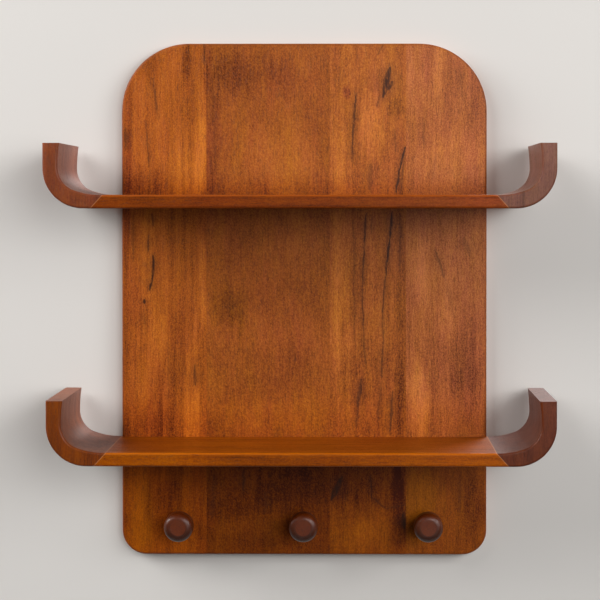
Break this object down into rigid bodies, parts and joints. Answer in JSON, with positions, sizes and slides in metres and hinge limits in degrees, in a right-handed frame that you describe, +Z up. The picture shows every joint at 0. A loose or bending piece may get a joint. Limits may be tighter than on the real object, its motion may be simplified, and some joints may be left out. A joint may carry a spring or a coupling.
{
  "type": "wall shelf with pegs",
  "caption": "Wooden wall shelf: an upright panel with rounded corners carries shelves with upturned curved ends and a row of turned pegs below.",
  "frame": {"origin": "middle of the panel's back face, which lies flat on the wall", "axes": "+X to the right as seen from the front, +Y into the wall, +Z up"},
  "size_m": [0.471, 0.119, 0.5],
  "materials": {
    "panel_wood_left": "satin lacquer",
    "panel_wood_middle_left": "satin lacquer",
    "panel_wood_middle_right": "satin lacquer",
    "panel_wood_right": "satin lacquer",
    "board_wood": "satin lacquer",
    "end_wood": "satin lacquer",
    "peg_wood": "satin lacquer",
    "screw_steel": "zinc plated"
  },
  "bodies": {
    "root": {"panel_stave_left": "panel_wood_left", "panel_stave_middle_left": "panel_wood_middle_left", "panel_stave_middle_right": "panel_wood_middle_right", "panel_stave_right": "panel_wood_right", "upper_shelf_board": "board_wood", "lower_shelf_board": "board_wood", "upper_left_end": "end_wood", "upper_right_end": "end_wood", "lower_left_end": "end_wood", "lower_right_end": "end_wood", "left_peg": "peg_wood", "middle_peg": "peg_wood", "right_peg": "peg_wood", "upper_shelf_screws": "screw_steel", "lower_shelf_screws": "screw_steel"}
  },
  "joints": []
}
